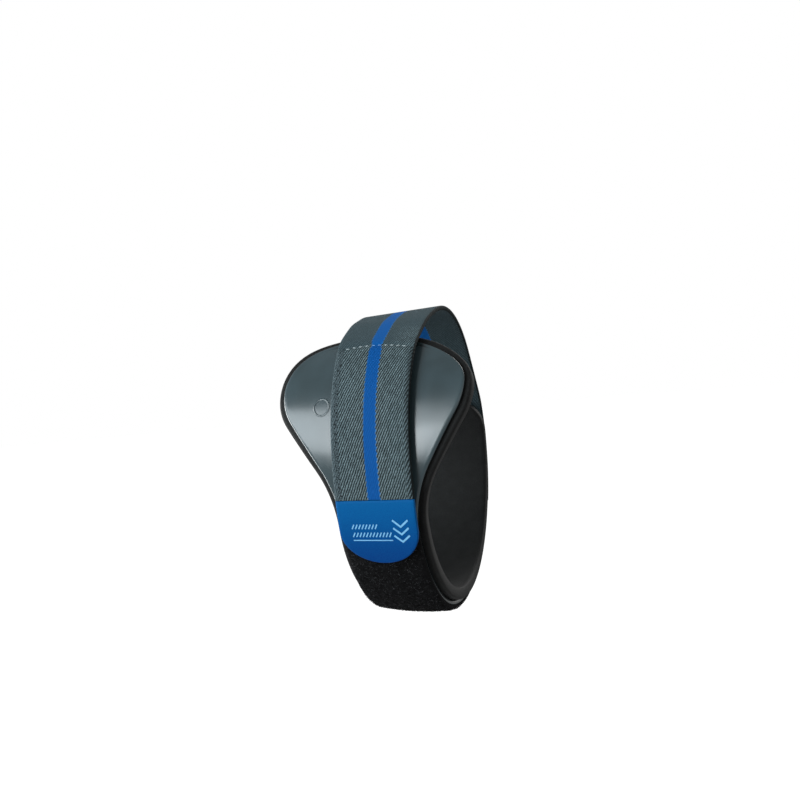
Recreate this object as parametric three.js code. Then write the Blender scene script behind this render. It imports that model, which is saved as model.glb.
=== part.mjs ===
// Tennis elbow strap in its worn form. A stiff C-shaped shell with a rounded paddle lies on a foam
// liner. A loop strip runs round the band of the shell, and an elastic strap comes over the open
// side, crosses the paddle and closes on the loop strip with a hook tab.
//
// Millimetres, +Z up. All of it closes round an oval hollow that widens towards +X. The origin is
// on the axis of the hollow, in the middle of the band, and the paddle faces -Y.
// Every piece is drawn flat and then wrapped round the hollow, so a place on it has three numbers:
// along the band, 0 at the foremost line and growing upwards over the hollow; across it, growing
// with X; and the height above the wall of the hollow.

import * as THREE from 'three';
import { mergeVertices } from 'three/addons/utils/BufferGeometryUtils.js';

// Hollow at the middle of the band, and how much its radius grows on each millimetre towards +X
const hollowDepth = 91;
const hollowHeight = 101;
const hollowGrowth = 0.08;

// Clearance between pieces that touch
const gap = 0.3;

// Shell
const shellThickness = 2.8;
const shellCrown = 0.9;
const shellEdgeShare = 0.4;
const shellBevel = 1.3;
const bandWidth = 29;
const paddleWidth = 69;
const paddleCapHeight = 21;
const paddleWidestAt = 26;
const shoulderRadius = 18;
const waistRadius = 40;
const flareAngle = THREE.MathUtils.degToRad(33.5);
const shellBackEnd = -165;
const backEndRound = 11;

// Both ends of the C thin out to a share of their thickness, over these lengths
const shellEndShare = 0.42;
const linerEndShare = 0.62;
const paddleThinning = 42;
const backThinning = 35;

// The top of the paddle leans: its drop for each millimetre towards +X, reached between two places
// along the band and gone again over the top
const paddleLean = 0.13;
const leanFrom = 22;
const leanFull = 46;
const leanGone = 80;

// Below the hollow the band runs further towards -X than the paddle does. The shift begins at the
// foremost line and is whole from this place down.
const bandDrift = 0.9;
const driftFull = -35;

// Foam liner
const linerThickness = 4.5;
const linerSideLip = 2.4;
const linerTopLip = 3.4;
const linerBevel = 0.8;
const linerEdgeShare = 0.75;

// Loop strip
const loopWidth = 29.4;
const loopThickness = 1.2;
const loopStart = 42;
const loopEnd = -105;
const loopBevel = 0.3;

// Hook tab
const tabWidth = 29.8;
const tabThickness = 1.7;
const tabTop = -10;
const tabLength = 21.2;
const tabRound = 11.5;
const tabBevel = 0.4;

// Elastic strap
const strapWidth = 30;
const strapThickness = 1.7;
const strapBevel = 0.4;
const strapLap = 36;

// The strap and its tab lie this far towards +X from the middle of the band
const strapShift = 0.6;

// The webbing bows out by this much where it leaves the paddle, most at this place along it
const strapBow = 0.9;
const bowMiddle = 57;
const bowReach = 8;

// Fineness of the solids
const bandStep = 5;
const strapStep = 4;
const capSteps = 9;
const arcSteps = 5;
const flareSteps = 2;
const endSteps = 5;

// Finishes
const finishes = {
  foam: { color: 0x2b2c2c, roughness: 0.85, metalness: 0 },
  plastic: { color: 0x4d5e62, roughness: 0.3, metalness: 0 },
  loop: { color: 0x1b1b1c, roughness: 1, metalness: 0 },
  webbing: { color: 0x505f65, roughness: 0.8, metalness: 0 },
  tab: { color: 0x12559a, roughness: 0.45, metalness: 0 },
};

// Middle section of the hollow, from its foremost point up and over the top
const hollowSection = new THREE.EllipseCurve(
  0, 0, hollowDepth / 2, hollowHeight / 2, Math.PI, -Math.PI, true,
);
hollowSection.arcLengthDivisions = 1440;
const hollowGirth = hollowSection.getLength();

// Drop of the leaning paddle and the strap on it, for each millimetre towards +X
function lean(along) {
  const grown = THREE.MathUtils.smoothstep(along, leanFrom, leanFull);
  return paddleLean * grown * (1 - THREE.MathUtils.smoothstep(along, leanFull, leanGone));
}

// Shift of the band towards -X, which fades between the rearmost line and the top of the hollow
const topmost = hollowGirth / 4;
const rearmost = -hollowGirth / 2;

function drift(along) {
  const place = along > topmost ? along - hollowGirth : along;
  const begun = 1 - THREE.MathUtils.smoothstep(place, driftFull, 0);
  return bandDrift * begun * THREE.MathUtils.smoothstep(place, topmost - hollowGirth, rearmost);
}

// Point of the wrapped form for a place on the flat one
function wrap({ along, across, height }) {
  const share = (along - lean(along) * across) / hollowGirth;
  const angle = 2 * Math.PI * hollowSection.getUtoTmapping(share - Math.floor(share));
  const shifted = across - drift(along);
  const depth = hollowDepth / 2 + hollowGrowth * shifted;
  const rise = hollowHeight / 2 + hollowGrowth * shifted;
  const normal = new THREE.Vector2(-Math.cos(angle) / depth, Math.sin(angle) / rise).normalize();
  return new THREE.Vector3(
    shifted,
    -depth * Math.cos(angle) + height * normal.x,
    rise * Math.sin(angle) + height * normal.y,
  );
}

// Outline of the shell
const paddleTop = paddleWidestAt + paddleCapHeight;
const paddleHalf = paddleWidth / 2;
const bandHalf = bandWidth / 2;
const shoulderFoot = {
  along: paddleWidestAt - shoulderRadius * Math.sin(flareAngle),
  across: paddleHalf - shoulderRadius * (1 - Math.cos(flareAngle)),
};
const waistHead = { across: bandHalf + waistRadius * (1 - Math.cos(flareAngle)) };
waistHead.along = shoulderFoot.along - (shoulderFoot.across - waistHead.across) / Math.tan(flareAngle);
const waistFoot = waistHead.along - waistRadius * Math.sin(flareAngle);

// Half of the outline, from the paddle's top down its +X side to the back end. A point holds its
// place and its outward direction.
function shellOutline() {
  const points = [];
  const add = (along, across, outAlong, outAcross) => {
    const length = Math.hypot(outAlong, outAcross);
    points.push({ along, across, outAlong: outAlong / length, outAcross: outAcross / length });
  };
  for (let i = 0; i <= capSteps; i++) {
    const angle = (i / capSteps) * Math.PI / 2;
    add(
      paddleWidestAt + paddleCapHeight * Math.cos(angle),
      paddleHalf * Math.sin(angle),
      Math.cos(angle) / paddleCapHeight,
      Math.sin(angle) / paddleHalf,
    );
  }
  for (let i = 1; i <= arcSteps; i++) {
    const angle = (i / arcSteps) * flareAngle;
    add(
      paddleWidestAt - shoulderRadius * Math.sin(angle),
      paddleHalf - shoulderRadius * (1 - Math.cos(angle)),
      -Math.sin(angle),
      Math.cos(angle),
    );
  }
  for (let i = 1; i < flareSteps; i++) {
    add(
      THREE.MathUtils.lerp(shoulderFoot.along, waistHead.along, i / flareSteps),
      THREE.MathUtils.lerp(shoulderFoot.across, waistHead.across, i / flareSteps),
      -Math.sin(flareAngle),
      Math.cos(flareAngle),
    );
  }
  for (let i = 0; i <= arcSteps; i++) {
    const angle = (1 - i / arcSteps) * flareAngle;
    add(
      waistFoot + waistRadius * Math.sin(angle),
      bandHalf + waistRadius * (1 - Math.cos(angle)),
      -Math.sin(angle),
      Math.cos(angle),
    );
  }
  const straight = rowsBetween([waistFoot, shellBackEnd + backEndRound], bandStep);
  for (const along of straight.slice(1)) add(along, bandHalf, 0, 1);
  for (let i = 1; i <= endSteps; i++) {
    const angle = (i / endSteps) * Math.PI / 2;
    add(
      shellBackEnd + backEndRound * (1 - Math.sin(angle)),
      bandHalf * Math.cos(angle),
      -Math.sin(angle) / backEndRound,
      Math.cos(angle) / bandHalf,
    );
  }
  return points;
}

// Half width of the shell's face at a place along the band
function faceHalf(along) {
  const next = outline.findIndex((point) => point.along <= along);
  if (next < 1) return bandHalf - shellBevel;
  const [above, below] = [outline[next - 1], outline[next]];
  const share = (above.along - along) / (above.along - below.along);
  return THREE.MathUtils.lerp(above.across, below.across, share) - shellBevel;
}

// Places along the band, evenly spaced between stops that each get a row of their own
function rowsBetween(stops, step) {
  const rows = [stops[0]];
  for (let i = 1; i < stops.length; i++) {
    const count = Math.max(1, Math.ceil(Math.abs(stops[i] - stops[i - 1]) / step));
    for (let j = 1; j <= count; j++) {
      rows.push(THREE.MathUtils.lerp(stops[i - 1], stops[i], j / count));
    }
  }
  return rows;
}

const outline = shellOutline();

// Heights above the wall of the hollow, by the place along the band
function thinned(thickness, endShare, along) {
  const toTop = THREE.MathUtils.clamp(1 - (paddleTop - along) / paddleThinning, 0, 1);
  const toBack = THREE.MathUtils.clamp(1 - (along - shellBackEnd) / backThinning, 0, 1);
  return thickness * (1 - (1 - endShare) * Math.max(toTop, toBack) ** 2);
}

const linerTop = (along) => thinned(linerThickness, linerEndShare, along);
const shellUnder = (along) => linerTop(along) + gap;
const shellTop = (along) => shellUnder(along) + thinned(shellThickness, shellEndShare, along);
const loopUnder = (along) => shellTop(along) + gap;
const loopTop = (along) => loopUnder(along) + loopThickness;
const tabUnder = (along) => loopTop(along) + gap;

// Closed solid through loops of flat places, one loop for each row. Rows that shrink to a line at
// an end close by themselves, and other end rows get a flat cap.
function loftSolid(name, finish, loops) {
  const positions = [];
  const triangle = (...places) => {
    for (const place of places) positions.push(...wrap(place).toArray());
  };
  const size = loops[0].length;
  for (let i = 0; i + 1 < loops.length; i++) {
    for (let j = 0; j < size; j++) {
      const k = (j + 1) % size;
      triangle(loops[i][j], loops[i][k], loops[i + 1][k]);
      triangle(loops[i][j], loops[i + 1][k], loops[i + 1][j]);
    }
  }
  const last = loops[loops.length - 1];
  for (let j = 1; j + 1 < size; j++) {
    triangle(loops[0][0], loops[0][j + 1], loops[0][j]);
    triangle(last[0], last[j], last[j + 1]);
  }
  let geometry = new THREE.BufferGeometry();
  geometry.setAttribute('position', new THREE.Float32BufferAttribute(positions, 3));
  geometry = mergeVertices(geometry, 1e-3);
  geometry.setIndex(wholeTriangles(geometry.index.array));
  geometry.computeVertexNormals();
  const mesh = new THREE.Mesh(geometry, new THREE.MeshStandardMaterial(finishes[finish]));
  mesh.name = name;
  return mesh;
}

// Triangles whose corners are three different points, without pairs that lie back to back
function wholeTriangles(index) {
  const kept = new Map();
  for (let i = 0; i < index.length; i += 3) {
    const corners = [index[i], index[i + 1], index[i + 2]];
    if (new Set(corners).size < 3) continue;
    const key = [...corners].sort((a, b) => a - b).join();
    if (kept.has(key)) kept.delete(key);
    else kept.set(key, corners);
  }
  return [...kept.values()].flat();
}

// One row of a plate: a flat underside, an upright edge, a bevel and a crowned top
function plateLoop(side, lip, bevel, edgeShare, crown, under, top) {
  const ring = (outset, sign) => ({
    along: side.along + outset * side.outAlong,
    across: sign * Math.max(0, side.across + outset * side.outAcross),
  });
  const foot = ring(lip, 1);
  const face = ring(lip - bevel, 1);
  const edge = THREE.MathUtils.lerp(under(foot.along), top(foot.along), edgeShare);
  const low = (share, height) => ({ along: foot.along, across: share * foot.across, height });
  const high = (share) => ({
    along: face.along,
    across: share * face.across,
    height: top(face.along) - crown * share ** 2,
  });
  return [
    high(0),
    high(-0.5),
    high(-1),
    low(-1, edge),
    low(-1, under(foot.along)),
    low(0, under(foot.along)),
    low(1, under(foot.along)),
    low(1, edge),
    high(1),
    high(0.5),
  ];
}

// Width of the liner's lip past the shell, widest at the top of the paddle
const linerLip = ({ outAlong }) =>
  linerSideLip + (linerTopLip - linerSideLip) * Math.max(0, outAlong) ** 2;

function buildLiner() {
  const rows = outline.map((side) =>
    plateLoop(side, linerLip(side), linerBevel, linerEdgeShare, 0, () => 0, linerTop));
  return loftSolid('foam_liner', 'foam', rows);
}

function buildShell() {
  const rows = outline.map((side) =>
    plateLoop(side, 0, shellBevel, shellEdgeShare, shellCrown, shellUnder, shellTop));
  return loftSolid('shell', 'plastic', rows);
}

// One row of a strip with straight sides, through stops from its middle out to its side
function stripLoop(along, stops, bevel, under, thickness, shift = 0) {
  const half = stops[stops.length - 1];
  const at = (across, height) => ({ along, across: across + shift, height: under(across) + height });
  const side = (sign) => [
    ...stops.slice(1, -1).map((across) => at(sign * across, thickness)),
    at(sign * (half - bevel), thickness),
    at(sign * half, thickness - bevel),
    ...stops.slice(1).reverse().map((across) => at(sign * across, 0)),
  ];
  return [at(0, thickness), ...side(-1), at(0, 0), ...side(1).reverse()];
}

// Drop of the shell's outside from its highest line: its crown, and past the face its bevel
function shellDrop(along, across) {
  const face = faceHalf(along);
  const bevelSlope = (shellThickness * (1 - shellEdgeShare) - shellCrown) / shellBevel;
  const reach = Math.abs(across);
  return shellCrown * Math.min(1, reach / face) ** 2 + bevelSlope * Math.max(0, reach - face);
}

// The loop strip follows the crown of the shell and rolls down over the edges of the band
function buildLoopStrip() {
  const half = loopWidth / 2;
  const rows = rowsBetween([loopStart, loopEnd], bandStep).map((along) => stripLoop(
    along,
    [0, half / 2, bandHalf - shellBevel, half],
    loopBevel,
    (across) => loopUnder(along) - shellDrop(along, across),
    loopThickness,
  ));
  return loftSolid('loop_strip', 'loop', rows);
}

// The tab's sides are straight from its top edge and end in half an ellipse
function buildHookTab() {
  const tip = tabTop - tabLength;
  const roundFrom = tip + tabRound;
  const sides = rowsBetween([tabTop, roundFrom], strapStep)
    .map((along) => ({ along, half: tabWidth / 2 }));
  for (let i = 1; i <= capSteps; i++) {
    const angle = (i / capSteps) * Math.PI / 2;
    sides.push({
      along: roundFrom - tabRound * Math.sin(angle),
      half: (tabWidth / 2) * Math.cos(angle),
    });
  }
  const rows = sides.map(({ along, half }) => stripLoop(
    along,
    [0, half / 2, half],
    Math.min(tabBevel, half),
    () => tabUnder(along),
    tabThickness,
    strapShift,
  ));
  return loftSolid('hook_tab', 'tab', rows);
}

// The strap's underside runs from the tab over the loop strip, the paddle, the open side and the
// back of the shell. These places along it get rows of their own.
const strapStart = tabTop + gap;
const shellBackEndAbove = shellBackEnd + hollowGirth;
const strapStops = [
  strapStart,
  loopStart,
  paddleTop,
  paddleTop + linerTopLip,
  shellBackEndAbove - linerSideLip,
  shellBackEndAbove,
  shellBackEndAbove + strapLap,
];

// Height that holds the strap up at a place along it
function support(along) {
  const place = along > paddleTop + linerTopLip ? along - hollowGirth : along;
  if (place < shellBackEnd - linerSideLip) return gap;
  if (place < shellBackEnd || place > paddleTop) return linerTop(place) + gap;
  const onLoop = place >= loopEnd && place <= loopStart;
  return (onLoop ? loopTop(place) : shellTop(place)) + gap;
}

// Point in the middle section, seen along the hollow
function sectionPoint(along, height) {
  const point = wrap({ along, across: 0, height });
  return new THREE.Vector2(point.y, point.z);
}

// Rows of the strap with the height of its underside. The strap is pulled taut, so it follows the
// highest chord between two supports that aren't further apart than the hollow is deep.
function tautRows() {
  const places = rowsBetween(strapStops, strapStep);
  const supports = places.map((along) => sectionPoint(along, support(along)));
  return places.map((along, row) => {
    const wall = sectionPoint(along, 0);
    const outward = sectionPoint(along, 1).sub(wall);
    let height = support(along);
    for (let i = 0; i < row; i++) {
      for (let j = row + 1; j < places.length; j++) {
        if (places[j] - places[i] > hollowDepth) break;
        const chord = supports[j].clone().sub(supports[i]);
        const toChord = supports[i].clone().sub(wall);
        height = Math.max(height, toChord.cross(chord) / outward.cross(chord));
      }
    }
    const bow = strapBow * Math.exp(-(((along - bowMiddle) / bowReach) ** 2));
    return { along, height: height + bow };
  });
}

function buildStrap() {
  const stops = [0, strapWidth / 4, strapWidth / 2];
  const rows = tautRows().reverse().map(({ along, height }) =>
    stripLoop(along, stops, strapBevel, () => height, strapThickness, strapShift));
  return loftSolid('elastic_strap', 'webbing', rows);
}

const tennisElbowStrap = new THREE.Group();
tennisElbowStrap.add(buildLiner(), buildShell(), buildLoopStrip(), buildHookTab(), buildStrap());

export default tennisElbowStrap;
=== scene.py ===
import math

import bpy
import numpy as np
from mathutils import Matrix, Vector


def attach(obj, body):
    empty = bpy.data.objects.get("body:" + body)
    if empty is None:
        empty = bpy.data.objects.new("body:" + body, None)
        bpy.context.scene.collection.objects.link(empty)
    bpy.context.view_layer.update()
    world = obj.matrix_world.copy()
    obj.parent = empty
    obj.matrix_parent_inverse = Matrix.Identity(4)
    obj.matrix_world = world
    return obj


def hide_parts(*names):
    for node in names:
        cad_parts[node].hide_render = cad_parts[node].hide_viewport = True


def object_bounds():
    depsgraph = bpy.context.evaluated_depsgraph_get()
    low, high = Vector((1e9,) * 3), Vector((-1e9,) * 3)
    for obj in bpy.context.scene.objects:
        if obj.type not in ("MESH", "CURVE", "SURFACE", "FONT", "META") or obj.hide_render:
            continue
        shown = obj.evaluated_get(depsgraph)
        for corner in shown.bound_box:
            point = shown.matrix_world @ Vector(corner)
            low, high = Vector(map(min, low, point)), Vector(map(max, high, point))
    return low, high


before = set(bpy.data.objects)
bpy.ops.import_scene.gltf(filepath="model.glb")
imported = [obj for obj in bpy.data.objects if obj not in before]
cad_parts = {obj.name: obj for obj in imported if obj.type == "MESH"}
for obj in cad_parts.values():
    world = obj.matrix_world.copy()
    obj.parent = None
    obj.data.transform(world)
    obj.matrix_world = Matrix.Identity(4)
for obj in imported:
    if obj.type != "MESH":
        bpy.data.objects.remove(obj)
cad_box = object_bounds()
bpy.ops.object.select_all(action="DESELECT")


# Camera. It looks at the front of the paddle from the right and a little above, slightly rolled,
# through a long lens.
CAMERA_AZIMUTH = math.radians(16)
CAMERA_ELEVATION = math.radians(5)
CAMERA_ROLL = math.radians(4.6)
CAMERA_DISTANCE = 1.0
PICTURE_PIXELS = 800
FOCAL_PIXELS = 2670
ORIGIN_PIXEL = (412.5, 451.5)
SENSOR = 36

back = np.array([
    math.sin(CAMERA_AZIMUTH) * math.cos(CAMERA_ELEVATION),
    -math.cos(CAMERA_AZIMUTH) * math.cos(CAMERA_ELEVATION),
    math.sin(CAMERA_ELEVATION),
])
level = np.array([math.cos(CAMERA_AZIMUTH), math.sin(CAMERA_AZIMUTH), 0.0])
upright = np.cross(back, level)
right = math.cos(CAMERA_ROLL) * level - math.sin(CAMERA_ROLL) * upright
up = math.sin(CAMERA_ROLL) * level + math.cos(CAMERA_ROLL) * upright

bpy.ops.object.camera_add()
camera = bpy.context.object
facing = Matrix(np.stack([right, up, back], 1).tolist())
camera.matrix_world = Matrix.LocRotScale(CAMERA_DISTANCE * back, facing, None)
camera.data.sensor_width = SENSOR
camera.data.lens = FOCAL_PIXELS / PICTURE_PIXELS * SENSOR
camera.data.shift_x = (PICTURE_PIXELS / 2 - ORIGIN_PIXEL[0]) / PICTURE_PIXELS
camera.data.shift_y = (ORIGIN_PIXEL[1] - PICTURE_PIXELS / 2) / PICTURE_PIXELS
bpy.context.scene.camera = camera


# Foam liner. Black closed-cell foam with a matte skin, cut to the shell's outline with a lip and
# bonded under it. It is drawn flat in millimetres, as every piece is: across the band, along it
# from the foremost line upwards, and the height above the hollow. Then it is wrapped.
HOLLOW_DEPTH = 91
HOLLOW_HEIGHT = 101
HOLLOW_GROWTH = 0.08
PADDLE_LEAN = 0.13
LEAN_FROM = 22
LEAN_FULL = 46
LEAN_GONE = 80
BAND_DRIFT = 0.9
DRIFT_FULL = -35

BAND_WIDTH = 29
PADDLE_WIDTH = 69
PADDLE_CAP_HEIGHT = 21
PADDLE_WIDEST_AT = 26
PADDLE_TOP = PADDLE_WIDEST_AT + PADDLE_CAP_HEIGHT
SHOULDER_RADIUS = 18
WAIST_RADIUS = 40
FLARE_ANGLE = math.radians(33.5)
SHELL_BACK_END = -165
BACK_END_ROUND = 11

LINER_THICKNESS = 4.5
LINER_END_SHARE = 0.62
LINER_SIDE_LIP = 2.4
LINER_TOP_LIP = 3.4
LINER_BEVEL = 1.1
LINER_EDGE_SHARE = 0.72
SOLE_ROUNDING = 0.15
PADDLE_THINNING = 42
BACK_THINNING = 35

turns = np.linspace(0, 2 * math.pi, 1441)
rim = np.stack([-HOLLOW_DEPTH / 2 * np.cos(turns), HOLLOW_HEIGHT / 2 * np.sin(turns)], 1)
travelled = np.append(0, np.cumsum(np.linalg.norm(np.diff(rim, axis=0), axis=1)))
HOLLOW_GIRTH = travelled[-1]


def smoothstep(value, low, high):
    share = np.clip((value - low) / (high - low), 0, 1)
    return share * share * (3 - 2 * share)


def lean(along):
    grown = smoothstep(along, LEAN_FROM, LEAN_FULL)
    return PADDLE_LEAN * grown * (1 - smoothstep(along, LEAN_FULL, LEAN_GONE))


def drift(along):
    topmost = HOLLOW_GIRTH / 4
    place = np.where(along > topmost, along - HOLLOW_GIRTH, along)
    begun = 1 - smoothstep(place, DRIFT_FULL, 0)
    return BAND_DRIFT * begun * smoothstep(place, topmost - HOLLOW_GIRTH, -HOLLOW_GIRTH / 2)


def wrapped(flat):
    """Points in the frame, in metres, for flat places in millimetres."""
    across, along, height = np.asarray(flat, float).T
    angle = np.interp((along - lean(along) * across) % HOLLOW_GIRTH, travelled, turns)
    shifted = across - drift(along)
    depth = HOLLOW_DEPTH / 2 + HOLLOW_GROWTH * shifted
    rise = HOLLOW_HEIGHT / 2 + HOLLOW_GROWTH * shifted
    outward = np.stack([-np.cos(angle) / depth, np.sin(angle) / rise])
    outward = outward / np.linalg.norm(outward, axis=0)
    y = -depth * np.cos(angle) + height * outward[0]
    z = rise * np.sin(angle) + height * outward[1]
    return np.stack([shifted, y, z], 1) / 1000


def wrap_mesh(piece):
    """Wraps a piece that is drawn flat, and keeps its flat places for its material."""
    mesh = piece.data
    flat = np.empty(3 * len(mesh.vertices))
    mesh.vertices.foreach_get("co", flat)
    mesh.attributes.new("flat", "FLOAT_VECTOR", "POINT").data.foreach_set("vector", flat)
    mesh.vertices.foreach_set("co", wrapped(flat.reshape(-1, 3)).ravel())
    mesh.update()


def skin(name, sections, sharp=50):
    """Piece through rows of sections, each a loop of flat places from its top middle round."""
    places = np.array([section + section[:1] for section in sections], float)
    rows, columns = places.shape[:2]
    bpy.ops.mesh.primitive_grid_add(x_subdivisions=columns - 1, y_subdivisions=rows - 1, size=1)
    piece = bpy.context.object
    piece.name = piece.data.name = name
    grid = np.empty(3 * len(piece.data.vertices))
    piece.data.vertices.foreach_get("co", grid)
    column, row = np.rint((grid.reshape(-1, 3)[:, :2] + 0.5) * (columns - 1, rows - 1)).astype(int).T
    piece.data.vertices.foreach_set("co", places[row, column].ravel())
    bpy.ops.object.mode_set(mode="EDIT")
    bpy.ops.mesh.select_all(action="SELECT")
    bpy.ops.mesh.remove_doubles(threshold=1e-4)
    bpy.ops.mesh.normals_make_consistent(inside=False)
    bpy.ops.object.mode_set(mode="OBJECT")
    wrap_mesh(piece)
    bpy.ops.object.shade_smooth_by_angle(angle=math.radians(sharp))
    return piece


def shell_sides():
    """Half of the shell's outline from the paddle's top to the back end: place along and across,
    outward direction, and how near it is to the end of its rounded cap."""
    sides = []

    def add(along, across, out_along, out_across, cap=0.0):
        length = math.hypot(out_along, out_across)
        sides.append((along, across, out_along / length, out_across / length, cap))

    half = PADDLE_WIDTH / 2
    band = BAND_WIDTH / 2
    for angle in np.linspace(0, math.pi / 2, 40):
        add(
            PADDLE_WIDEST_AT + PADDLE_CAP_HEIGHT * math.cos(angle),
            half * math.sin(angle),
            math.cos(angle) / PADDLE_CAP_HEIGHT,
            math.sin(angle) / half,
            math.cos(angle),
        )
    for angle in np.linspace(0, FLARE_ANGLE, 12)[1:]:
        add(
            PADDLE_WIDEST_AT - SHOULDER_RADIUS * math.sin(angle),
            half - SHOULDER_RADIUS * (1 - math.cos(angle)),
            -math.sin(angle),
            math.cos(angle),
        )
    foot_along, foot_across = sides[-1][:2]
    head_across = band + WAIST_RADIUS * (1 - math.cos(FLARE_ANGLE))
    head_along = foot_along - (foot_across - head_across) / math.tan(FLARE_ANGLE)
    for share in np.linspace(0, 1, 6)[1:-1]:
        add(
            foot_along + share * (head_along - foot_along),
            foot_across + share * (head_across - foot_across),
            -math.sin(FLARE_ANGLE),
            math.cos(FLARE_ANGLE),
        )
    waist_foot = head_along - WAIST_RADIUS * math.sin(FLARE_ANGLE)
    for angle in np.linspace(FLARE_ANGLE, 0, 18):
        add(
            waist_foot + WAIST_RADIUS * math.sin(angle),
            band + WAIST_RADIUS * (1 - math.cos(angle)),
            -math.sin(angle),
            math.cos(angle),
        )
    for along in np.linspace(waist_foot, SHELL_BACK_END + BACK_END_ROUND, 70)[1:]:
        add(along, band, 0, 1)
    for angle in np.linspace(0, math.pi / 2, 16)[1:]:
        add(
            SHELL_BACK_END + BACK_END_ROUND * (1 - math.sin(angle)),
            band * math.cos(angle),
            -math.sin(angle) / BACK_END_ROUND,
            math.cos(angle) / band,
            math.sin(angle),
        )
    return sides


def thinned(thickness, end_share, along):
    to_top = np.clip(1 - (PADDLE_TOP - along) / PADDLE_THINNING, 0, 1)
    to_back = np.clip(1 - (along - SHELL_BACK_END) / BACK_THINNING, 0, 1)
    return thickness * (1 - (1 - end_share) * np.maximum(to_top, to_back) ** 2)


def liner_top(along):
    return thinned(LINER_THICKNESS, LINER_END_SHARE, along)


def liner_lip(out_along):
    return LINER_SIDE_LIP + (LINER_TOP_LIP - LINER_SIDE_LIP) * max(0, out_along) ** 2


def plate_section(side, lip, bevel, edge_share, crown, under, top, columns):
    """Loop round one row of a plate: a crowned top, rounded edges and a flat underside."""
    along, across, out_along, out_across, cap = side

    def ring(outset):
        return along + outset * out_along, max(0.0, across + outset * out_across)

    face_along, face_across = ring(lip - bevel)
    foot_along, foot_across = ring(lip)
    low = under(foot_along)
    edge = low + edge_share * (top(foot_along) - low)
    face = top(face_along)
    crest = []
    for share in np.linspace(0, 1, columns):
        drop = crown * (1 - (1 - share**2) * (1 - cap**2))
        crest.append((share * face_across, face_along, face - drop))
    rounding = []
    for turn in np.linspace(0, math.pi / 2, 7)[1:]:
        ring_along, ring_across = ring(lip - bevel * (1 - math.sin(turn)))
        height = edge + (face - crown - edge) * math.cos(turn)
        rounding.append((ring_across, ring_along, height))
    sole_edge = max(0.0, foot_across - SOLE_ROUNDING)
    wall = [(foot_across, foot_along, low + SOLE_ROUNDING), (sole_edge, foot_along, low)]
    sole = [(share * foot_across, foot_along, low) for share in np.linspace(0.9, 0, 6)]
    half = crest + rounding + wall + sole
    other = [(-x, y, z) for x, y, z in reversed(half[1:-1])]
    return half + other


class Number:
    """A socket in a material, so that sums on it are written as plain expressions."""

    def __init__(self, finish, socket):
        self.finish = finish
        self.socket = socket

    def sum(self, operation, first, second):
        return self.finish.node("Math", {"operation": operation}, {0: first, 1: second})

    def __add__(self, other):
        return self.sum("ADD", self, other)

    def __radd__(self, other):
        return self.sum("ADD", other, self)

    def __sub__(self, other):
        return self.sum("SUBTRACT", self, other)

    def __rsub__(self, other):
        return self.sum("SUBTRACT", other, self)

    def __mul__(self, other):
        return self.sum("MULTIPLY", self, other)

    def __rmul__(self, other):
        return self.sum("MULTIPLY", other, self)

    def __truediv__(self, other):
        return self.sum("DIVIDE", self, other)

    def __neg__(self):
        return self * -1

    def __abs__(self):
        return self.finish.node("Math", {"operation": "ABSOLUTE"}, {0: self})

    def __floor__(self):
        return self.finish.node("Math", {"operation": "FLOOR"}, {0: self})


class Finish:
    """A material of nodes on a Principled shader."""

    def __init__(self, name, roughness, specular=0.5):
        self.material = bpy.data.materials.new(name)
        self.material.use_nodes = True
        self.tree = self.material.node_tree
        self.shader = self.tree.nodes["Principled BSDF"]
        self.shader.inputs["Roughness"].default_value = roughness
        self.shader.inputs["Specular IOR Level"].default_value = specular
        self.flat = self.node("Attribute", {"attribute_name": "flat"}, {}, "Vector")
        self.across, self.along = [
            self.node("SeparateXYZ", {}, {"Vector": self.flat}, axis) for axis in "XY"
        ]

    def node(self, kind, settings, sockets, output=0):
        made = self.tree.nodes.new("ShaderNode" + kind)
        for name, value in settings.items():
            setattr(made, name, value)
        for name, value in sockets.items():
            if isinstance(value, Number):
                self.tree.links.new(value.socket, made.inputs[name])
            else:
                made.inputs[name].default_value = value
        return Number(self, made.outputs[output])

    def noise(self, scale, detail=2.0, stretch=(1, 1, 1)):
        place = self.node("VectorMath", {"operation": "MULTIPLY"}, {0: self.flat, 1: stretch})
        return self.node("TexNoise", {}, {"Vector": place, "Scale": scale, "Detail": detail})

    def between(self, value, low, high):
        limits = {"Value": value, "From Min": low, "From Max": high}
        return self.node("MapRange", {"interpolation_type": "SMOOTHSTEP"}, limits)

    def mix(self, share, first, second):
        return self.node("Mix", {"data_type": "RGBA"}, {0: share, 6: first, 7: second}, 2)

    def bump(self, height, distance, strength=1.0):
        sockets = {"Height": height, "Distance": distance / 1000, "Strength": strength}
        return self.node("Bump", {}, sockets)

    def feed(self, **sockets):
        for name, value in sockets.items():
            self.tree.links.new(value.socket, self.shader.inputs[name.replace("_", " ")])

    def on(self, piece):
        piece.data.materials.clear()
        piece.data.materials.append(self.material)


def tone(*channels):
    """A colour as the eye sees it, red, green and blue from 0 to 255, in the shader's linear values."""
    shares = [channel / 255 for channel in channels]
    linear = [((share + 0.055) / 1.055) ** 2.4 if share > 0.04045 else share / 12.92 for share in shares]
    return (*linear, 1.0)


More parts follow.
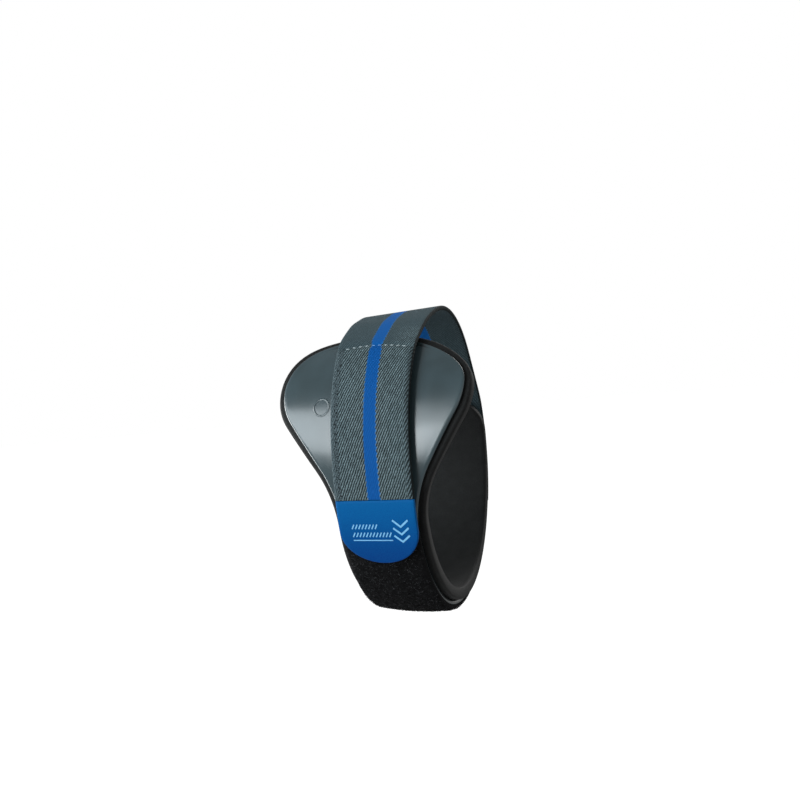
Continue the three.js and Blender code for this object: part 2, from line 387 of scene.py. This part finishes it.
outline = shell_sides()
liner = skin("liner", [
    plate_section(
        side,
        lip=liner_lip(side[2]),
        bevel=LINER_BEVEL,
        edge_share=LINER_EDGE_SHARE,
        crown=0.0,
        under=lambda along: 0.0,
        top=liner_top,
        columns=12,
    )
    for side in outline
])
foam = Finish("black foam", roughness=0.66, specular=0.18)
pores = foam.noise(2.6, 3.0)
patches = foam.noise(0.25)
spread = foam.between(pores * 0.6 + patches * 0.4, 0.3, 0.7)
foam.feed(
    Base_Color=foam.mix(spread, tone(14, 15, 15), tone(26, 27, 27)),
    Normal=foam.bump(pores, 0.12, 0.7),
)
foam.on(liner)
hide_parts("foam_liner")
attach(liner, "root")


# Shell. A C of slate grey plastic, injection moulded with a satin gloss. Its face is slightly
# crowned, its edges are rounded, and it thins out towards both ends.
SHELL_THICKNESS = 2.8
SHELL_END_SHARE = 0.42
SHELL_CROWN = 0.9
SHELL_BEVEL = 1.3
SHELL_EDGE_SHARE = 0.4
GAP = 0.3


def shell_under(along):
    return liner_top(along) + GAP


def shell_top(along):
    return shell_under(along) + thinned(SHELL_THICKNESS, SHELL_END_SHARE, along)


shell = skin("moulded_shell", [
    plate_section(
        side,
        lip=0.0,
        bevel=SHELL_BEVEL,
        edge_share=SHELL_EDGE_SHARE,
        crown=SHELL_CROWN,
        under=shell_under,
        top=shell_top,
        columns=20,
    )
    for side in outline
])
plastic = Finish("slate plastic", roughness=0.26, specular=0.7)
grain = plastic.noise(1.4, 2.0)
cloud = plastic.noise(0.06, 2.0)
flow = plastic.noise(0.5, 2.0, stretch=(1, 0.12, 1))
slate = plastic.mix(plastic.between(cloud, 0.35, 0.65), tone(47, 61, 65), tone(53, 68, 73))
height_share = plastic.node("Attribute", {"attribute_name": "height_share"}, {}, "Fac")
# The side walls and the underside of the shell are painted a darker slate, as painted shade.
shaded_side_wall = 1 - plastic.between(height_share, SHELL_EDGE_SHARE - 0.04, SHELL_EDGE_SHARE + 0.04)
plastic.feed(
    Base_Color=plastic.mix(shaded_side_wall, slate, tone(30, 36, 38)),
    Roughness=0.19 + 0.05 * flow + 0.03 * grain,
    Normal=plastic.bump(flow, 0.012, 0.5),
)


def shell_face(across, along):
    """Height of the shell's outside: its crowned face and past it the bevel."""
    face_half = np.interp(along, outline_along, outline_across) - SHELL_BEVEL
    reach = np.abs(across)
    bevel_slope = (SHELL_THICKNESS * (1 - SHELL_EDGE_SHARE) - SHELL_CROWN) / SHELL_BEVEL
    crown = SHELL_CROWN * np.minimum(1, reach / face_half) ** 2
    return shell_top(along) - crown - bevel_slope * np.maximum(0, reach - face_half)


outline_along, outline_across = np.array(outline)[::-1, :2].T
flat = np.empty(3 * len(shell.data.vertices))
shell.data.attributes["flat"].data.foreach_get("vector", flat)
_, along, height = flat.reshape(-1, 3).T
shares = (height - shell_under(along)) / (shell_top(along) - shell_under(along))
shell.data.attributes.new("height_share", "FLOAT", "POINT").data.foreach_set("value", shares)
plastic.on(shell)
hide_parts("shell")
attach(shell, "root")


# Moulded ring. A low plain ring, moulded on the shell's face beside the strap.
RING_PLACE = (-19.2, 20.5)
RING_RADIUS = 2.9
RING_WIDTH = 0.7
RING_RISE = 0.13


def settle(piece, surface):
    """Sets a piece that is drawn flat on a surface, whose height it takes at each of its points."""
    flat = np.empty(3 * len(piece.data.vertices))
    piece.data.vertices.foreach_get("co", flat)
    flat = flat.reshape(-1, 3)
    flat[:, 2] += surface(flat[:, 0], flat[:, 1])
    piece.data.vertices.foreach_set("co", flat.ravel())


bpy.ops.mesh.primitive_torus_add(
    location=(*RING_PLACE, 0),
    major_radius=RING_RADIUS,
    minor_radius=RING_WIDTH / 2,
    major_segments=48,
    minor_segments=10,
)
ring = bpy.context.object
ring.scale.z = RING_RISE / (RING_WIDTH / 2)
bpy.ops.object.transform_apply(location=True, rotation=True, scale=True)
ring.name = ring.data.name = "moulded_ring"
settle(ring, shell_face)
wrap_mesh(ring)
bpy.ops.object.shade_smooth()
ring_share = np.ones(len(ring.data.vertices))
ring.data.attributes.new("height_share", "FLOAT", "POINT").data.foreach_set("value", ring_share)
plastic.on(ring)
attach(ring, "root")


# Loop strip. Black brushed loop pile on a thin backing, bonded round the outside of the band and up
# the middle of the paddle. It follows the crown of the shell and rolls down over the band's edges.
LOOP_WIDTH = 29.4
LOOP_THICKNESS = 1.2
LOOP_START = 42
LOOP_END = -105
LOOP_EDGE = 0.45


def loop_under(across, along):
    return shell_face(across, along) + GAP


def loop_top(along):
    return shell_top(along) + GAP + LOOP_THICKNESS


def strip_section(side, squeeze, edge, under, thickness, columns=14, shift=0.0):
    """Loop round one row of a strip with rounded edges. A squeeze under 1 draws its top and its
    underside together, for a rounded end."""
    along, across, out_along, out_across = side
    middle = thickness / 2

    def ring(inset):
        return max(0.0, across - inset * out_across), along - inset * out_along

    face_across, face_along = ring(edge)
    upper = [(share * face_across, face_along, middle) for share in np.linspace(0, 1, columns)]
    for turn in np.linspace(0, math.pi / 2, 5)[1:]:
        upper.append((*ring(edge * (1 - math.sin(turn))), middle - edge * (1 - math.cos(turn))))
    lower = [(x, y, -z) for x, y, z in reversed(upper)]
    loop = upper + lower
    loop += [(-x, y, z) for x, y, z in reversed(loop[1:-1])]
    return [(x + shift, y, under(x + shift, y) + middle + squeeze * z) for x, y, z in loop]


def rounded_end(end, inwards, half, edge):
    """Sides and squeezes of the rows that round over a strip's end, from its tip inwards."""
    return [
        ((end + inwards * edge * (1 - math.cos(turn)), half, 0.0, 1.0), math.sin(turn))
        for turn in np.linspace(0, math.pi / 2, 6)
    ]


def strip_rows(start, end, half, rounding, step):
    """Sides and squeezes of a straight strip's rows, rounded over at both ends."""
    inwards = math.copysign(1, end - start)
    first, last = start + inwards * rounding, end - inwards * rounding
    places = np.linspace(first, last, round(abs(end - start) / step))
    middle = [((place, half, 0.0, 1.0), 1.0) for place in places[1:-1]]
    head = rounded_end(start, inwards, half, rounding)
    return head + middle + rounded_end(end, -inwards, half, rounding)[::-1]


loop_strip = skin("brushed_loop", [
    strip_section(side, squeeze, LOOP_EDGE, loop_under, LOOP_THICKNESS)
    for side, squeeze in strip_rows(LOOP_START, LOOP_END, LOOP_WIDTH / 2, LOOP_EDGE, 1.5)
])
pile = Finish("black loop pile", roughness=0.95, specular=0.05)
tufts = pile.noise(3.4, 3.0)
specks = pile.between(pile.noise(5.0, 2.0), 0.68, 0.76)
nap = pile.noise(0.35, 2.0)
pile_tone = pile.mix(tufts * 0.6 + nap * 0.4, tone(11, 11, 12), tone(29, 29, 30))
# Threads with a glint share are painted pale grey, as painted glints of light on single loops.
glint = pile.node("Attribute", {"attribute_name": "thread_glint"}, {}, "Fac")
pile_tone = pile.mix(glint, pile_tone, tone(92, 93, 96))
pile.feed(
    Base_Color=pile.mix(specks, pile_tone, tone(58, 58, 60)),
    Normal=pile.bump(tufts, 0.35),
)
pile.on(loop_strip)
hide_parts("loop_strip")
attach(loop_strip, "root")


# Hook tab. A smooth blue tab at the strap's end, straight at the top and rounded below, with hooks
# under it that hold it on the loop strip.
TAB_WIDTH = 29.8
TAB_THICKNESS = 1.7
TAB_TOP = -10
TAB_LENGTH = 21.2
TAB_ROUND = 11.5
TAB_EDGE = 0.45
TAB_MEETING = 0.24
JOINT_ROUNDING = 0.12
STRAP_SHIFT = 0.6


def tab_rows():
    """Sides and squeezes of the tab's rows, from its straight top edge to its round tip."""
    half = TAB_WIDTH / 2
    round_from = TAB_TOP - TAB_LENGTH + TAB_ROUND
    top = TAB_TOP + TAB_MEETING
    rows = rounded_end(top, -1, half, JOINT_ROUNDING)
    straight = np.linspace(top - JOINT_ROUNDING, round_from, 12)[1:]
    rows += [((along, half, 0.0, 1.0), 1.0) for along in straight]
    for angle in np.linspace(0, math.pi / 2, 40)[1:]:
        length = math.hypot(math.sin(angle) / TAB_ROUND, math.cos(angle) / half)
        rows.append((
            (
                round_from - TAB_ROUND * math.sin(angle),
                half * math.cos(angle),
                -math.sin(angle) / TAB_ROUND / length,
                math.cos(angle) / half / length,
            ),
            1.0,
        ))
    return rows


def tab_under(across, along):
    return loop_top(along) + GAP


tab = skin("blue_tab", [
    strip_section(side, squeeze, TAB_EDGE, tab_under, TAB_THICKNESS, shift=STRAP_SHIFT)
    for side, squeeze in tab_rows()
])
coated = Finish("blue tab cloth", roughness=0.55, specular=0.05)
fine = coated.noise(3.0, 3.0)
# The blue is painted darker towards the tab's rounded tip, as painted shade where the tab turns downwards.
fade = coated.between(coated.along, TAB_TOP - TAB_LENGTH, TAB_TOP)
coated.feed(
    Base_Color=coated.mix(fine * 0.5 + fade * 0.5, tone(0, 43, 113), tone(4, 91, 147)),
    Normal=coated.bump(fine, 0.03, 0.6),
)
coated.on(tab)
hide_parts("hook_tab")
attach(tab, "root")


# Tab print. Two rows of slanted dashes over a line, and three chevrons beside them, screen printed
# in pale blue.
PRINT_RISE = 0.05
DASH_ROWS = ((-18.1, -8.8, 1.0), (-20.8, -8.8, 5.2))
DASH_PITCH = 1.25
DASH_HEIGHT = 1.5
DASH_SLANT = 0.45
DASH_STROKE = 0.42
LINE_PLACE = -22.7
LINE_ENDS = (-9.4, 5.6)
LINE_STROKE = 0.34
CHEVRON_MIDDLE = 9.3
CHEVRON_HALF = 2.9
CHEVRON_DROP = 2.1
CHEVRON_TIPS = (-18.2, -20.7, -23.2)
CHEVRON_STROKE = 0.62
CHEVRON_OVERLAP = (0.15, 0.1)


def stroke(start, end, width):
    """A thin printed bar between two flat places."""
    start, end = np.array(start), np.array(end)
    middle, run = (start + end) / 2, end - start
    bpy.ops.mesh.primitive_plane_add(size=1, location=(*middle, 0))
    bar = bpy.context.object
    bar.rotation_euler.z = math.atan2(run[1], run[0])
    bar.scale = (np.linalg.norm(run), width, 1)
    bpy.ops.object.transform_apply(location=True, rotation=True, scale=True)
    bpy.ops.object.mode_set(mode="EDIT")
    bpy.ops.mesh.select_all(action="SELECT")
    bpy.ops.mesh.subdivide(number_cuts=3)
    bpy.ops.mesh.extrude_region_move(TRANSFORM_OT_translate={"value": (0, 0, PRINT_RISE)})
    bpy.ops.mesh.select_all(action="SELECT")
    bpy.ops.mesh.normals_make_consistent(inside=False)
    bpy.ops.object.mode_set(mode="OBJECT")
    return bar


def joined(pieces, name):
    bpy.ops.object.select_all(action="DESELECT")
    for piece in pieces:
        piece.select_set(True)
    bpy.context.view_layer.objects.active = pieces[0]
    bpy.ops.object.join()
    pieces[0].name = pieces[0].data.name = name
    return pieces[0]


bars = []
for place, first, last in DASH_ROWS:
    for across in np.arange(first, last, DASH_PITCH):
        foot = (across - DASH_SLANT, place - DASH_HEIGHT / 2)
        head = (across + DASH_SLANT, place + DASH_HEIGHT / 2)
        bars.append(stroke(foot, head, DASH_STROKE))
line_start, line_end = [(end, LINE_PLACE) for end in LINE_ENDS]
bars.append(stroke(line_start, line_end, LINE_STROKE))
for tip in CHEVRON_TIPS:
    for side in (-1, 1):
        wing = (CHEVRON_MIDDLE + side * CHEVRON_HALF, tip + CHEVRON_DROP)
        point = (CHEVRON_MIDDLE - side * CHEVRON_OVERLAP[0], tip - CHEVRON_OVERLAP[1])
        bars.append(stroke(wing, point, CHEVRON_STROKE))
printed = joined(bars, "tab_print")
settle(printed, lambda across, along: tab_under(across, along) + TAB_THICKNESS)
wrap_mesh(printed)
ink = Finish("pale blue print", roughness=0.5, specular=0.2)
worn = ink.noise(1.6, 3.0)
ink.feed(Base_Color=ink.mix(worn, tone(98, 162, 206), tone(128, 188, 224)))
ink.on(printed)
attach(printed, "root")


# Loop pile. Thousands of fine nylon loops that stand on the strip in all directions. Beside the tab
# and the strap they are pressed flat, and none are made where the tab and the strap hide them.
PILE_DOUBLINGS = 13
PILE_COUNT = 2**PILE_DOUBLINGS
PILE_THREAD = 0.06
PILE_REACH = (0.6, 1.7)
PILE_RISE = (0.12, 0.5)
PILE_PRESSED = 0.12
PILE_STEPS = 3
PILE_SIDES = 3
PILE_EDGE = 0.3
PILE_END = 0.8
TAB_MARGIN = 0.4
COVER_EDGE = 0.6
GLINT_POWER = 6

bpy.ops.mesh.primitive_grid_add(x_subdivisions=PILE_STEPS, y_subdivisions=PILE_SIDES, size=1)
loops = bpy.context.object
loops.name = loops.data.name = "loop_pile"
thread = np.empty(3 * len(loops.data.vertices))
loops.data.vertices.foreach_get("co", thread)
share, turn = thread.reshape(-1, 3).T[:2] + 0.5
bpy.ops.object.mode_set(mode="EDIT")
bpy.ops.mesh.select_all(action="SELECT")
for _ in range(PILE_DOUBLINGS):
    bpy.ops.mesh.duplicate()
    bpy.ops.mesh.select_all(action="SELECT")
bpy.ops.object.mode_set(mode="OBJECT")

draw = np.random.default_rng(11)
half = LOOP_WIDTH / 2 - PILE_EDGE
spots = np.stack([
    draw.uniform(-half, half, 3 * PILE_COUNT),
    draw.uniform(LOOP_END + PILE_END, LOOP_START - PILE_END, 3 * PILE_COUNT),
], 1)
tab_place = (spots[:, 0] - STRAP_SHIFT) / (TAB_WIDTH / 2)
tab_foot = TAB_TOP - TAB_LENGTH + TAB_ROUND * (1 - np.sqrt(np.clip(1 - tab_place**2, 0, 1)))
covered = (spots[:, 1] > tab_foot - TAB_MARGIN) & (np.abs(spots[:, 0]) < half - COVER_EDGE)
spots = spots[~covered][:PILE_COUNT, :, None]
heading, reaches, rises, bends, glint = draw.uniform(0, 1, (5, PILE_COUNT, 1))
heading = heading * 2 * math.pi
beside = spots[:, 1] > TAB_TOP - TAB_LENGTH
rises = np.where(beside, PILE_PRESSED, PILE_RISE[0] + (PILE_RISE[1] - PILE_RISE[0]) * rises)
forward = (share - 0.5) * (PILE_REACH[0] + (PILE_REACH[1] - PILE_REACH[0]) * reaches)
radius = PILE_THREAD * np.sin(math.pi * share)
sideways = (bends - 0.5) * forward**2 + radius * np.cos(2 * math.pi * turn)
lift = rises * np.sin(math.pi * share) + radius * np.sin(2 * math.pi * turn)
x = np.clip(spots[:, 0] + forward * np.cos(heading) - sideways * np.sin(heading), -half, half)
y = spots[:, 1] + forward * np.sin(heading) + sideways * np.cos(heading)
lift = lift + loop_under(x, y) + LOOP_THICKNESS
loops.data.vertices.foreach_set("co", np.stack([x, y, lift], 2).ravel())
# A few threads are painted pale, as painted glints of light on the loops.
glint = np.broadcast_to(glint**GLINT_POWER, x.shape)
loops.data.attributes.new("thread_glint", "FLOAT", "POINT").data.foreach_set("value", glint.ravel())
bpy.ops.object.mode_set(mode="EDIT")
bpy.ops.mesh.select_all(action="SELECT")
bpy.ops.mesh.remove_doubles(threshold=1e-5)
bpy.ops.mesh.normals_make_consistent(inside=False)
bpy.ops.object.mode_set(mode="OBJECT")
wrap_mesh(loops)
bpy.ops.object.shade_smooth()
pile.on(loops)
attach(loops, "root")


# Elastic strap. Grey webbing in twill weave with a blue stripe woven in, sewn to the tab and pulled
# taut over the paddle and the open side to the back of the shell.
STRAP_WIDTH = 30
STRAP_THICKNESS = 1.7
STRAP_LAP = 36
STRAP_EDGE = 0.6
STRAP_START = TAB_TOP + GAP
SHELL_BACK_END_ABOVE = SHELL_BACK_END + HOLLOW_GIRTH
STRAP_END = SHELL_BACK_END_ABOVE + STRAP_LAP
STRAP_SOFTENING = 2.0
SOFTENING_ROWS = 8
STRAP_BOW = 0.9
BOW_MIDDLE = 57
BOW_REACH = 8
STITCH_ROW = 40.3
STITCH_TILT = 0.045
STITCH_ARCH = 0.0085
STITCH_DENT = 0.28
DENT_REACH = 0.8
STITCHED_HALF = 12.8


def strap_support(along):
    place = along - HOLLOW_GIRTH if along > PADDLE_TOP + LINER_TOP_LIP else along
    if place < SHELL_BACK_END - LINER_SIDE_LIP:
        return GAP
    if place < SHELL_BACK_END or place > PADDLE_TOP:
        return liner_top(place) + GAP
    on_loop = LOOP_END <= place <= LOOP_START
    return (loop_top(place) if on_loop else shell_top(place)) + GAP


def taut_heights(places):
    """Height of the underside at places along the strap, on the highest chord between supports."""
    supports = np.array([strap_support(place) for place in places])
    middle = np.zeros_like(places)
    wall = wrapped(np.stack([middle, places, middle], 1))[:, 1:] * 1000
    outward = wrapped(np.stack([middle, places, middle + 1], 1))[:, 1:] * 1000 - wall
    held = wall + supports[:, None] * outward
    heights = supports.copy()
    for first in range(len(places)):
        for second in range(first + 2, len(places)):
            if places[second] - places[first] > HOLLOW_DEPTH:
                break
            chord = held[second] - held[first]
            between = slice(first + 1, second)
            start = held[first] - wall[between]
            cross = outward[between, 0] * chord[1] - outward[between, 1] * chord[0]
            reach = (start[:, 0] * chord[1] - start[:, 1] * chord[0]) / cross
            heights[between] = np.maximum(heights[between], reach)
    return heights


strap_places = np.arange(STRAP_START, STRAP_END + 1, 1.0)
strap_heights = taut_heights(strap_places)
reach = np.arange(-SOFTENING_ROWS, SOFTENING_ROWS + 1)
weights = np.exp(-0.5 * (reach / STRAP_SOFTENING) ** 2)
padded_heights = np.pad(strap_heights, SOFTENING_ROWS, mode="reflect", reflect_type="odd")
soft_heights = np.convolve(padded_heights, weights / weights.sum(), mode="valid")


def stitch_line(across):
    return STITCH_ROW + STITCH_TILT * across - STITCH_ARCH * across**2


def strap_under(across, along):
    from_row = along - stitch_line(across - STRAP_SHIFT)
    stitched = np.abs(across - STRAP_SHIFT) < STITCHED_HALF
    dent = STITCH_DENT * np.exp(-((from_row / DENT_REACH) ** 2)) * stitched
    bow = STRAP_BOW * np.exp(-(((along - BOW_MIDDLE) / BOW_REACH) ** 2))
    return np.interp(along, strap_places, soft_heights) + bow - dent


strap = skin("elastic_webbing", [
    strip_section(side, squeeze, STRAP_EDGE, strap_under, STRAP_THICKNESS, 22, STRAP_SHIFT)
    for side, squeeze in strip_rows(STRAP_START, STRAP_END, STRAP_WIDTH / 2, JOINT_ROUNDING, 0.5)
])

STRIPE_WIDTH = 4.9
STRIPE_PINCH = 0.45
FRINGE_PITCH = 1.7
FRINGE_SLANT = 0.9
FRINGE_DEPTH = 0.55
TWILL_PITCH = 0.84
TWILL_FLOAT = 0.95
LEFT_SLOPE = math.radians(62)
RIGHT_SLOPE = math.radians(61)
LEFT_SELVEDGE = 2.9
RIGHT_SELVEDGE = 2.5
SELVEDGE_SLOPE = math.radians(54)
SELVEDGE_PITCH = 1.0
SELVEDGE_FADE = 0.8

webbing = Finish("grey twill webbing", roughness=0.75, specular=0.1)
webbing.across = webbing.across - STRAP_SHIFT
jitter = webbing.noise(0.8, 3.0)
fuzz = webbing.between(webbing.noise(2.6, 3.0), 0.35, 0.65)


def wave(phase):
    """A wave between 0 and 1, once for each whole step of its phase."""
    return webbing.node("Math", {"operation": "COSINE"}, {0: phase * (2 * math.pi)}) * 0.5 + 0.5


def twill(slope, offset):
    """Ribs of slanted threads, each broken into floats of slightly different lightness."""
    beside = webbing.across * math.sin(slope) - webbing.along * math.cos(slope)
    lengthwise = webbing.across * math.cos(slope) + webbing.along * math.sin(slope)
    phase = beside / TWILL_PITCH + jitter * 0.7 + offset
    rib = webbing.between(wave(phase), 0.05, 0.8)
    count = math.floor(phase + 0.5)
    step = lengthwise / TWILL_FLOAT + count * 0.5
    place = webbing.node("CombineXYZ", {}, {"X": count, "Y": math.floor(step + 0.5)})
    chance = webbing.node("TexWhiteNoise", {"noise_dimensions": "3D"}, {"Vector": place})
    return rib * (0.7 + 0.3 * wave(step)) * (0.65 + 0.5 * chance)


right_half = webbing.between(webbing.across, -0.05, 0.05)
weave = twill(LEFT_SLOPE, 0.0) * (1 - right_half) + twill(RIGHT_SLOPE, 0.3) * right_half
row_place = webbing.across * STITCH_TILT - webbing.across * webbing.across * STITCH_ARCH + STITCH_ROW
past_row = webbing.along - row_place

# Above the stitch row the webbing is smoother, but for a patch near its right edge.
above = webbing.between(past_row, -0.3, 0.5)
patch = webbing.between(webbing.across, 3, 12) * (1 - webbing.between(webbing.along, 46, 56))
ribbed = webbing.mix(weave, tone(19, 27, 29), tone(103, 121, 126))
smooth = webbing.mix(weave * 0.6 + 0.2, tone(41, 54, 58), tone(70, 86, 92))
grey = webbing.mix(above * (1 - 0.7 * patch), ribbed, smooth)

# The left selvedge is plain, with dark dots along its inner side. Its pale tone is the selvedge's own,
# lightened further as painted highlight where the rounded left edge catches the light.
left_line = STRAP_WIDTH / 2 - LEFT_SELVEDGE
left_selvedge = webbing.between(-webbing.across, left_line - 0.2, left_line + 0.2)
undotted = webbing.between(webbing.noise(1.9, 2.0), 0.41, 0.47)
undotted = undotted + webbing.between(-webbing.across, left_line + 1.2, left_line + 1.9)
left_tone = webbing.mix(fuzz * 0.6 + weave * 0.4, tone(36, 47, 51), tone(88, 102, 107))
left_tone = webbing.mix(webbing.between(undotted, 0.2, 0.8), tone(20, 27, 29), left_tone)
grey = webbing.mix(left_selvedge * (1 - SELVEDGE_FADE * above), grey, left_tone)

# The right selvedge has short slanted bars, with dark notches towards its outer side.
right_line = STRAP_WIDTH / 2 - RIGHT_SELVEDGE
right_selvedge = webbing.between(webbing.across, right_line - 0.3, right_line + 0.3)
outwards = webbing.between(webbing.across, right_line, STRAP_WIDTH / 2 - 0.8)
bars_place = webbing.across * math.sin(SELVEDGE_SLOPE) - webbing.along * math.cos(SELVEDGE_SLOPE)
bars_wave = wave((bars_place + jitter * 0.6) / SELVEDGE_PITCH - 0.25)
bars_light = bars_wave * (0.5 + 0.8 * fuzz) * (1 - 0.35 * outwards)
notches = webbing.mix(outwards, tone(32, 41, 44), tone(8, 11, 12))
right_tone = webbing.mix(bars_light, notches, tone(90, 107, 112))
grey = webbing.mix(right_selvedge * (1 - SELVEDGE_FADE * above), grey, right_tone)
# The strap's right flank is painted near black, as painted shade on the side away from the light.
shaded_flank = webbing.between(webbing.across, STRAP_WIDTH / 2 - 0.55, STRAP_WIDTH / 2 - 0.3)
grey = webbing.mix(shaded_flank, grey, tone(22, 29, 30))

# The stripe narrows where the stitches pull on it, and its edges are toothed with pale tips.
from_middle = abs(webbing.across) + STRIPE_PINCH * (1 - webbing.between(abs(past_row), 0.2, 2.4))
tooth = (webbing.along - webbing.across * FRINGE_SLANT) / FRINGE_PITCH
tooth = tooth - math.floor(tooth)
stripe_edge = from_middle + tooth * FRINGE_DEPTH
stripe = 1 - webbing.between(stripe_edge, STRIPE_WIDTH / 2 + 0.1, STRIPE_WIDTH / 2 + 0.3)
tips = webbing.between(from_middle, STRIPE_WIDTH / 2 - 0.5, STRIPE_WIDTH / 2 - 0.15)
blue_grain = webbing.noise(2.4, 2.0) * 0.6 + weave * 0.4
blue = webbing.mix(blue_grain, tone(0, 65, 126), tone(2, 79, 148))
blue = webbing.mix(above * 0.6, blue, tone(8, 84, 152))
blue = webbing.mix(tips * (1 - tooth) * jitter, blue, tone(56, 116, 168))
webbing.feed(
    Base_Color=webbing.mix(stripe, grey, blue),
    Normal=webbing.bump(weave * (1 - 0.6 * above) * (1 - 0.7 * stripe), 0.16),
)
webbing.on(strap)
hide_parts("elastic_strap")
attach(strap, "root")


# Stitch row. Ten stitches of pale thread across the webbing, where its end is folded under and sewn.
STITCH_FIRST = -11.0
STITCH_PITCH = 2.42
STITCH_COUNT = 10
STITCH_LENGTH = 1.4
STITCH_THREAD = 0.36
STITCH_PROUD = 0.1

stitches = []
for number in range(STITCH_COUNT):
    across = STITCH_FIRST + number * STITCH_PITCH
    bpy.ops.mesh.primitive_uv_sphere_add(
        segments=10,
        ring_count=8,
        radius=0.5,
        location=(across + STRAP_SHIFT, stitch_line(across), STITCH_THREAD * STITCH_PROUD),
        rotation=(0, math.pi / 2, 0),
    )
    stitch = bpy.context.object
    stitch.scale = (STITCH_THREAD, STITCH_THREAD, STITCH_LENGTH)
    bpy.ops.object.transform_apply(location=True, rotation=True, scale=True)
    stitches.append(stitch)
stitch_row = joined(stitches, "stitch_row")
settle(stitch_row, lambda across, along: strap_under(across, along) + STRAP_THICKNESS)
wrap_mesh(stitch_row)
bpy.ops.object.shade_smooth()
thread_finish = Finish("pale thread", roughness=0.7, specular=0.2)
twist = thread_finish.noise(3.0, 2.0, stretch=(3, 1, 1))
pale = thread_finish.mix(twist, tone(130, 143, 145), tone(174, 185, 187))
off_stripe = abs(thread_finish.across - STRAP_SHIFT)
on_stripe = 1 - thread_finish.between(off_stripe, STRIPE_WIDTH / 2 - 0.3, STRIPE_WIDTH / 2)
thread_finish.feed(Base_Color=thread_finish.mix(on_stripe, pale, tone(100, 146, 196)))
thread_finish.on(stitch_row)
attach(stitch_row, "root")


# Floor and lights. A plain pale floor well below the strap, a pale sky that darkens upwards, and
# soft panels in front, on the far left and behind. Floor and sky look white behind the strap.
FLOOR_DROP = 0.8
FLOOR_RADIUS = 12
FLOOR_GLOW = (0.17, 0.17, 0.17, 1)
SKY_LOW = 0.65
SKY_HIGH = 0.3
SKY_FADE = (0.25, 0.7)
COOL = (0.88, 0.96, 1.0)

bpy.ops.mesh.primitive_circle_add(
    vertices=96, radius=FLOOR_RADIUS, fill_type="NGON", location=(0, 0, cad_box[0][2] - FLOOR_DROP)
)
floor = bpy.context.object
floor.name = "floor"
floor_paint = bpy.data.materials.new("pale floor")
floor_paint.use_nodes = True
paint = floor_paint.node_tree
surface = paint.nodes["Principled BSDF"]
surface.inputs["Base Color"].default_value = (0.3, 0.3, 0.3, 1)
surface.inputs["Roughness"].default_value = 0.9
surface.inputs["Emission Strength"].default_value = 0.95
seen = paint.nodes.new("ShaderNodeLightPath")
glow = paint.nodes.new("ShaderNodeMix")
glow.data_type = "RGBA"
glow.inputs[6].default_value = FLOOR_GLOW
glow.inputs[7].default_value = (1, 1, 1, 1)
paint.links.new(seen.outputs["Is Camera Ray"], glow.inputs[0])
paint.links.new(glow.outputs[2], surface.inputs["Emission Color"])
floor.data.materials.append(floor_paint)


def panel(name, azimuth, elevation, distance, width, height, radiance, colour=(1, 1, 1)):
    """A soft rectangular light that faces the strap from a direction in degrees. Azimuth 0 is in
    front, and it grows to the right."""
    bpy.ops.object.light_add(type="AREA")
    light = bpy.context.object
    light.name = name
    azimuth, elevation = math.radians(azimuth), math.radians(elevation)
    light.location = (
        distance * math.sin(azimuth) * math.cos(elevation),
        -distance * math.cos(azimuth) * math.cos(elevation),
        distance * math.sin(elevation),
    )
    light.rotation_euler = (math.pi / 2 - elevation, 0, azimuth)
    light.data.shape = "RECTANGLE"
    light.data.size = width
    light.data.size_y = height
    light.data.energy = radiance * math.pi * width * height
    light.data.color = colour


panel("front_panel", -43, 19, 1.3, 0.8, 0.82, 6.2, COOL)
panel("inner_panel", -20.5, 7.5, 1.3, 0.25, 0.53, 11.5, COOL)
panel("inner_top", -20.5, 23, 1.3, 0.25, 0.19, 4, COOL)
panel("left_strip", -90, 0, 1.2, 0.55, 1.05, 10)
panel("back_fill", 150, 35, 1.5, 1.0, 0.8, 5)

world = bpy.context.scene.world or bpy.data.worlds.new("studio")
bpy.context.scene.world = world
world.use_nodes = True
sky = world.node_tree
direction = sky.nodes.new("ShaderNodeTexCoord")
parts = sky.nodes.new("ShaderNodeSeparateXYZ")
fade = sky.nodes.new("ShaderNodeMapRange")
fade.inputs["From Min"].default_value, fade.inputs["From Max"].default_value = SKY_FADE
fade.inputs["To Min"].default_value = SKY_LOW
fade.inputs["To Max"].default_value = SKY_HIGH
sky.links.new(direction.outputs["Generated"], parts.inputs[0])
sky.links.new(parts.outputs["Z"], fade.inputs["Value"])
ray = sky.nodes.new("ShaderNodeLightPath")
backdrop = sky.nodes.new("ShaderNodeMix")
backdrop.inputs["B"].default_value = 1.0
sky.links.new(ray.outputs["Is Camera Ray"], backdrop.inputs["Factor"])
sky.links.new(fade.outputs[0], backdrop.inputs["A"])
sky.links.new(backdrop.outputs["Result"], sky.nodes["Background"].inputs["Strength"])
sky.nodes["Background"].inputs["Color"].default_value = (1, 1, 1, 1)
bpy.context.scene.view_settings.view_transform = "Standard"
